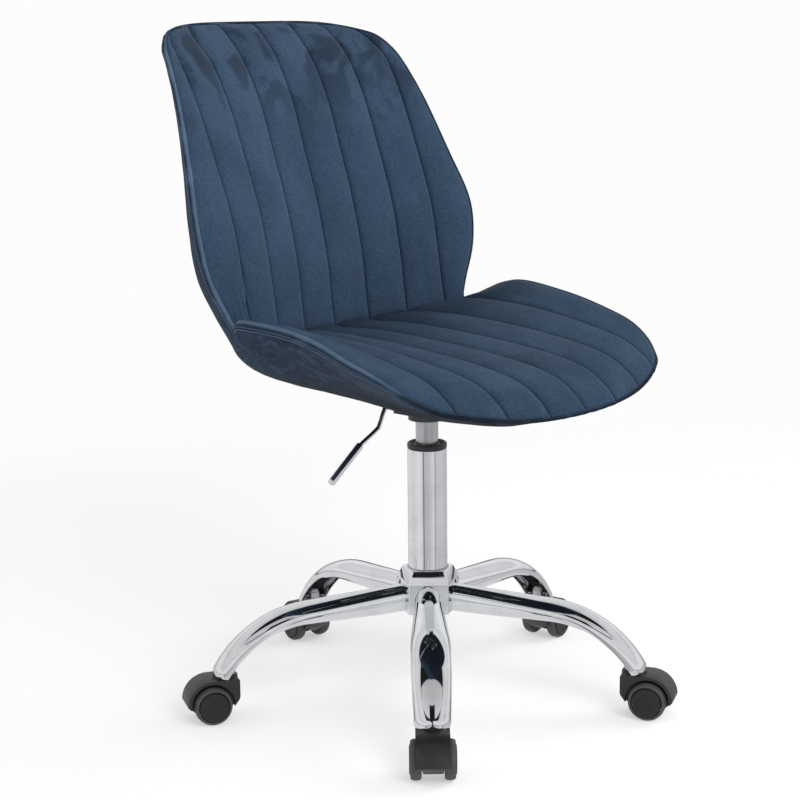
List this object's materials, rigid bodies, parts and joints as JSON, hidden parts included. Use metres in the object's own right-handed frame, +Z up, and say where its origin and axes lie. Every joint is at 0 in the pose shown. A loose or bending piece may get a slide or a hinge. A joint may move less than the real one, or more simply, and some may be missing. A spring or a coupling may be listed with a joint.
{
  "type": "swivel office chair",
  "caption": "Armless swivel chair: channelled velvet bucket seat on a gas lift with a height lever and a chromed pressed-steel star base on twin-wheel castors.",
  "frame": {"origin": "middle of the chair's footprint on the floor, at the bottom centre of its bounding box; the lift's axis stands 16.2 mm to -X and 8.2 mm to -Y of it", "axes": "+Z up, the sitter faces -Y, +X is the sitter's left; the height lever is on the -X side"},
  "size_m": [0.5937, 0.6037, 0.832],
  "materials": {
    "velvet": "matte",
    "chrome_plate": "polished",
    "satin_steel": "satin",
    "zinc_steel": "satin",
    "black_nylon": "satin",
    "grey_tread": "matte",
    "black_steel": "satin",
    "plywood": "matte"
  },
  "bodies": {
    "base": {"base_hub": "chrome_plate", "leg_1": "chrome_plate", "leg_2": "chrome_plate", "leg_3": "chrome_plate", "leg_4": "chrome_plate", "leg_5": "chrome_plate", "castor_socket_1": "zinc_steel", "castor_socket_2": "zinc_steel", "castor_socket_3": "zinc_steel", "castor_socket_4": "zinc_steel", "castor_socket_5": "zinc_steel", "outer_tube": "chrome_plate", "guide_bush": "black_nylon", "thrust_bearing": "zinc_steel"},
    "lift_rod": {"piston_rod": "satin_steel", "retaining_clip": "zinc_steel"},
    "seat": {"gas_cylinder": "satin_steel", "seat_mechanism": "black_steel", "seat_shell": "plywood", "seat_pad": "velvet", "back_pad": "velvet", "outer_cover": "velvet"},
    "lever": {"lever_rod": "chrome_plate", "lever_grip": "chrome_plate"},
    "release_pin": {"release_pin": "satin_steel"},
    "castor_1": {"castor_hood_1": "black_nylon", "castor_stem_1": "zinc_steel", "castor_axle_1": "zinc_steel"},
    "wheel_1_left": {"wheel_core_1_left": "black_nylon", "wheel_tread_1_left": "grey_tread"},
    "wheel_1_right": {"wheel_core_1_right": "black_nylon", "wheel_tread_1_right": "grey_tread"},
    "castor_2": {"castor_hood_2": "black_nylon", "castor_stem_2": "zinc_steel", "castor_axle_2": "zinc_steel"},
    "wheel_2_left": {"wheel_core_2_left": "black_nylon", "wheel_tread_2_left": "grey_tread"},
    "wheel_2_right": {"wheel_core_2_right": "black_nylon", "wheel_tread_2_right": "grey_tread"},
    "castor_3": {"castor_hood_3": "black_nylon", "castor_stem_3": "zinc_steel", "castor_axle_3": "zinc_steel"},
    "wheel_3_left": {"wheel_core_3_left": "black_nylon", "wheel_tread_3_left": "grey_tread"},
    "wheel_3_right": {"wheel_core_3_right": "black_nylon", "wheel_tread_3_right": "grey_tread"},
    "castor_4": {"castor_hood_4": "black_nylon", "castor_stem_4": "zinc_steel", "castor_axle_4": "zinc_steel"},
    "wheel_4_left": {"wheel_core_4_left": "black_nylon", "wheel_tread_4_left": "grey_tread"},
    "wheel_4_right": {"wheel_core_4_right": "black_nylon", "wheel_tread_4_right": "grey_tread"},
    "castor_5": {"castor_hood_5": "black_nylon", "castor_stem_5": "zinc_steel", "castor_axle_5": "zinc_steel"},
    "wheel_5_left": {"wheel_core_5_left": "black_nylon", "wheel_tread_5_left": "grey_tread"},
    "wheel_5_right": {"wheel_core_5_right": "black_nylon", "wheel_tread_5_right": "grey_tread"}
  },
  "joints": [
    {"name": "castor_1_swivel", "type": "hinge", "parent": "base", "child": "castor_1", "pos_m": [-0.20942, -0.18217, 0.05], "axis": [0, 0, 1], "continuous": true},
    {"name": "wheel_1_left_roll", "type": "hinge", "parent": "castor_1", "child": "wheel_1_left", "pos_m": [-0.22584, -0.19696, 0.02321], "axis": [0.6691, -0.7431, 0], "continuous": true},
    {"name": "wheel_1_right_roll", "type": "hinge", "parent": "castor_1", "child": "wheel_1_right", "pos_m": [-0.22584, -0.19696, 0.02321], "axis": [0.6691, -0.7431, 0], "continuous": true},
    {"name": "castor_2_swivel", "type": "hinge", "parent": "base", "child": "castor_2", "pos_m": [0.08955, -0.24572, 0.05], "axis": [0, 0, 1], "continuous": true},
    {"name": "wheel_2_left_roll", "type": "hinge", "parent": "castor_2", "child": "wheel_2_left", "pos_m": [0.09854, -0.26591, 0.02321], "axis": [0.9135, 0.4067, 0], "continuous": true},
    {"name": "wheel_2_right_roll", "type": "hinge", "parent": "castor_2", "child": "wheel_2_right", "pos_m": [0.09854, -0.26591, 0.02321], "axis": [0.9135, 0.4067, 0], "continuous": true},
    {"name": "castor_3_swivel", "type": "hinge", "parent": "base", "child": "castor_3", "pos_m": [0.24238, 0.01898, 0.05], "axis": [0, 0, 1], "continuous": true},
    {"name": "wheel_3_left_roll", "type": "hinge", "parent": "castor_3", "child": "wheel_3_left", "pos_m": [0.26436, 0.02129, 0.02321], "axis": [-0.1045, 0.9945, 0], "continuous": true},
    {"name": "wheel_3_right_roll", "type": "hinge", "parent": "castor_3", "child": "wheel_3_right", "pos_m": [0.26436, 0.02129, 0.02321], "axis": [-0.1045, 0.9945, 0], "continuous": true},
    {"name": "castor_4_swivel", "type": "hinge", "parent": "base", "child": "castor_4", "pos_m": [0.03786, 0.24612, 0.05], "axis": [0, 0, 1], "continuous": true},
    {"name": "wheel_4_left_roll", "type": "hinge", "parent": "castor_4", "child": "wheel_4_left", "pos_m": [0.04245, 0.26774, 0.02321], "axis": [-0.9781, 0.2079, 0], "continuous": true},
    {"name": "wheel_4_right_roll", "type": "hinge", "parent": "castor_4", "child": "wheel_4_right", "pos_m": [0.04245, 0.26774, 0.02321], "axis": [-0.9781, 0.2079, 0], "continuous": true},
    {"name": "castor_5_swivel", "type": "hinge", "parent": "base", "child": "castor_5", "pos_m": [-0.24137, 0.1218, 0.05], "axis": [0, 0, 1], "continuous": true},
    {"name": "wheel_5_left_roll", "type": "hinge", "parent": "castor_5", "child": "wheel_5_left", "pos_m": [-0.26051, 0.13285, 0.02321], "axis": [-0.5, -0.866, 0], "continuous": true},
    {"name": "wheel_5_right_roll", "type": "hinge", "parent": "castor_5", "child": "wheel_5_right", "pos_m": [-0.26051, 0.13285, 0.02321], "axis": [-0.5, -0.866, 0], "continuous": true},
    {"name": "seat_swivel", "type": "hinge", "parent": "base", "child": "lift_rod", "pos_m": [-0.0162, -0.0082, 0.117], "axis": [0, 0, 1], "continuous": true},
    {"name": "seat_height", "type": "slide", "parent": "lift_rod", "child": "seat", "axis": [0, 0, 1], "range_m": [-0.025, 0.08]},
    {"name": "lever_lift", "type": "hinge", "parent": "seat", "child": "lever", "pos_m": [-0.0612, -0.0082, 0.3795], "axis": [0, 1, 0], "range_deg": [0, 6], "stiffness_Nm_per_rad": 2, "springref_deg": -5.73},
    {"name": "release_pin_press", "type": "slide", "parent": "seat", "child": "release_pin", "axis": [0, 0, -1], "range_m": [0, 0.0045]}
  ],
  "couplings": [
    {"joint": "release_pin_press", "follows": "lever_lift", "m_per_rad": 0.041}
  ]
}
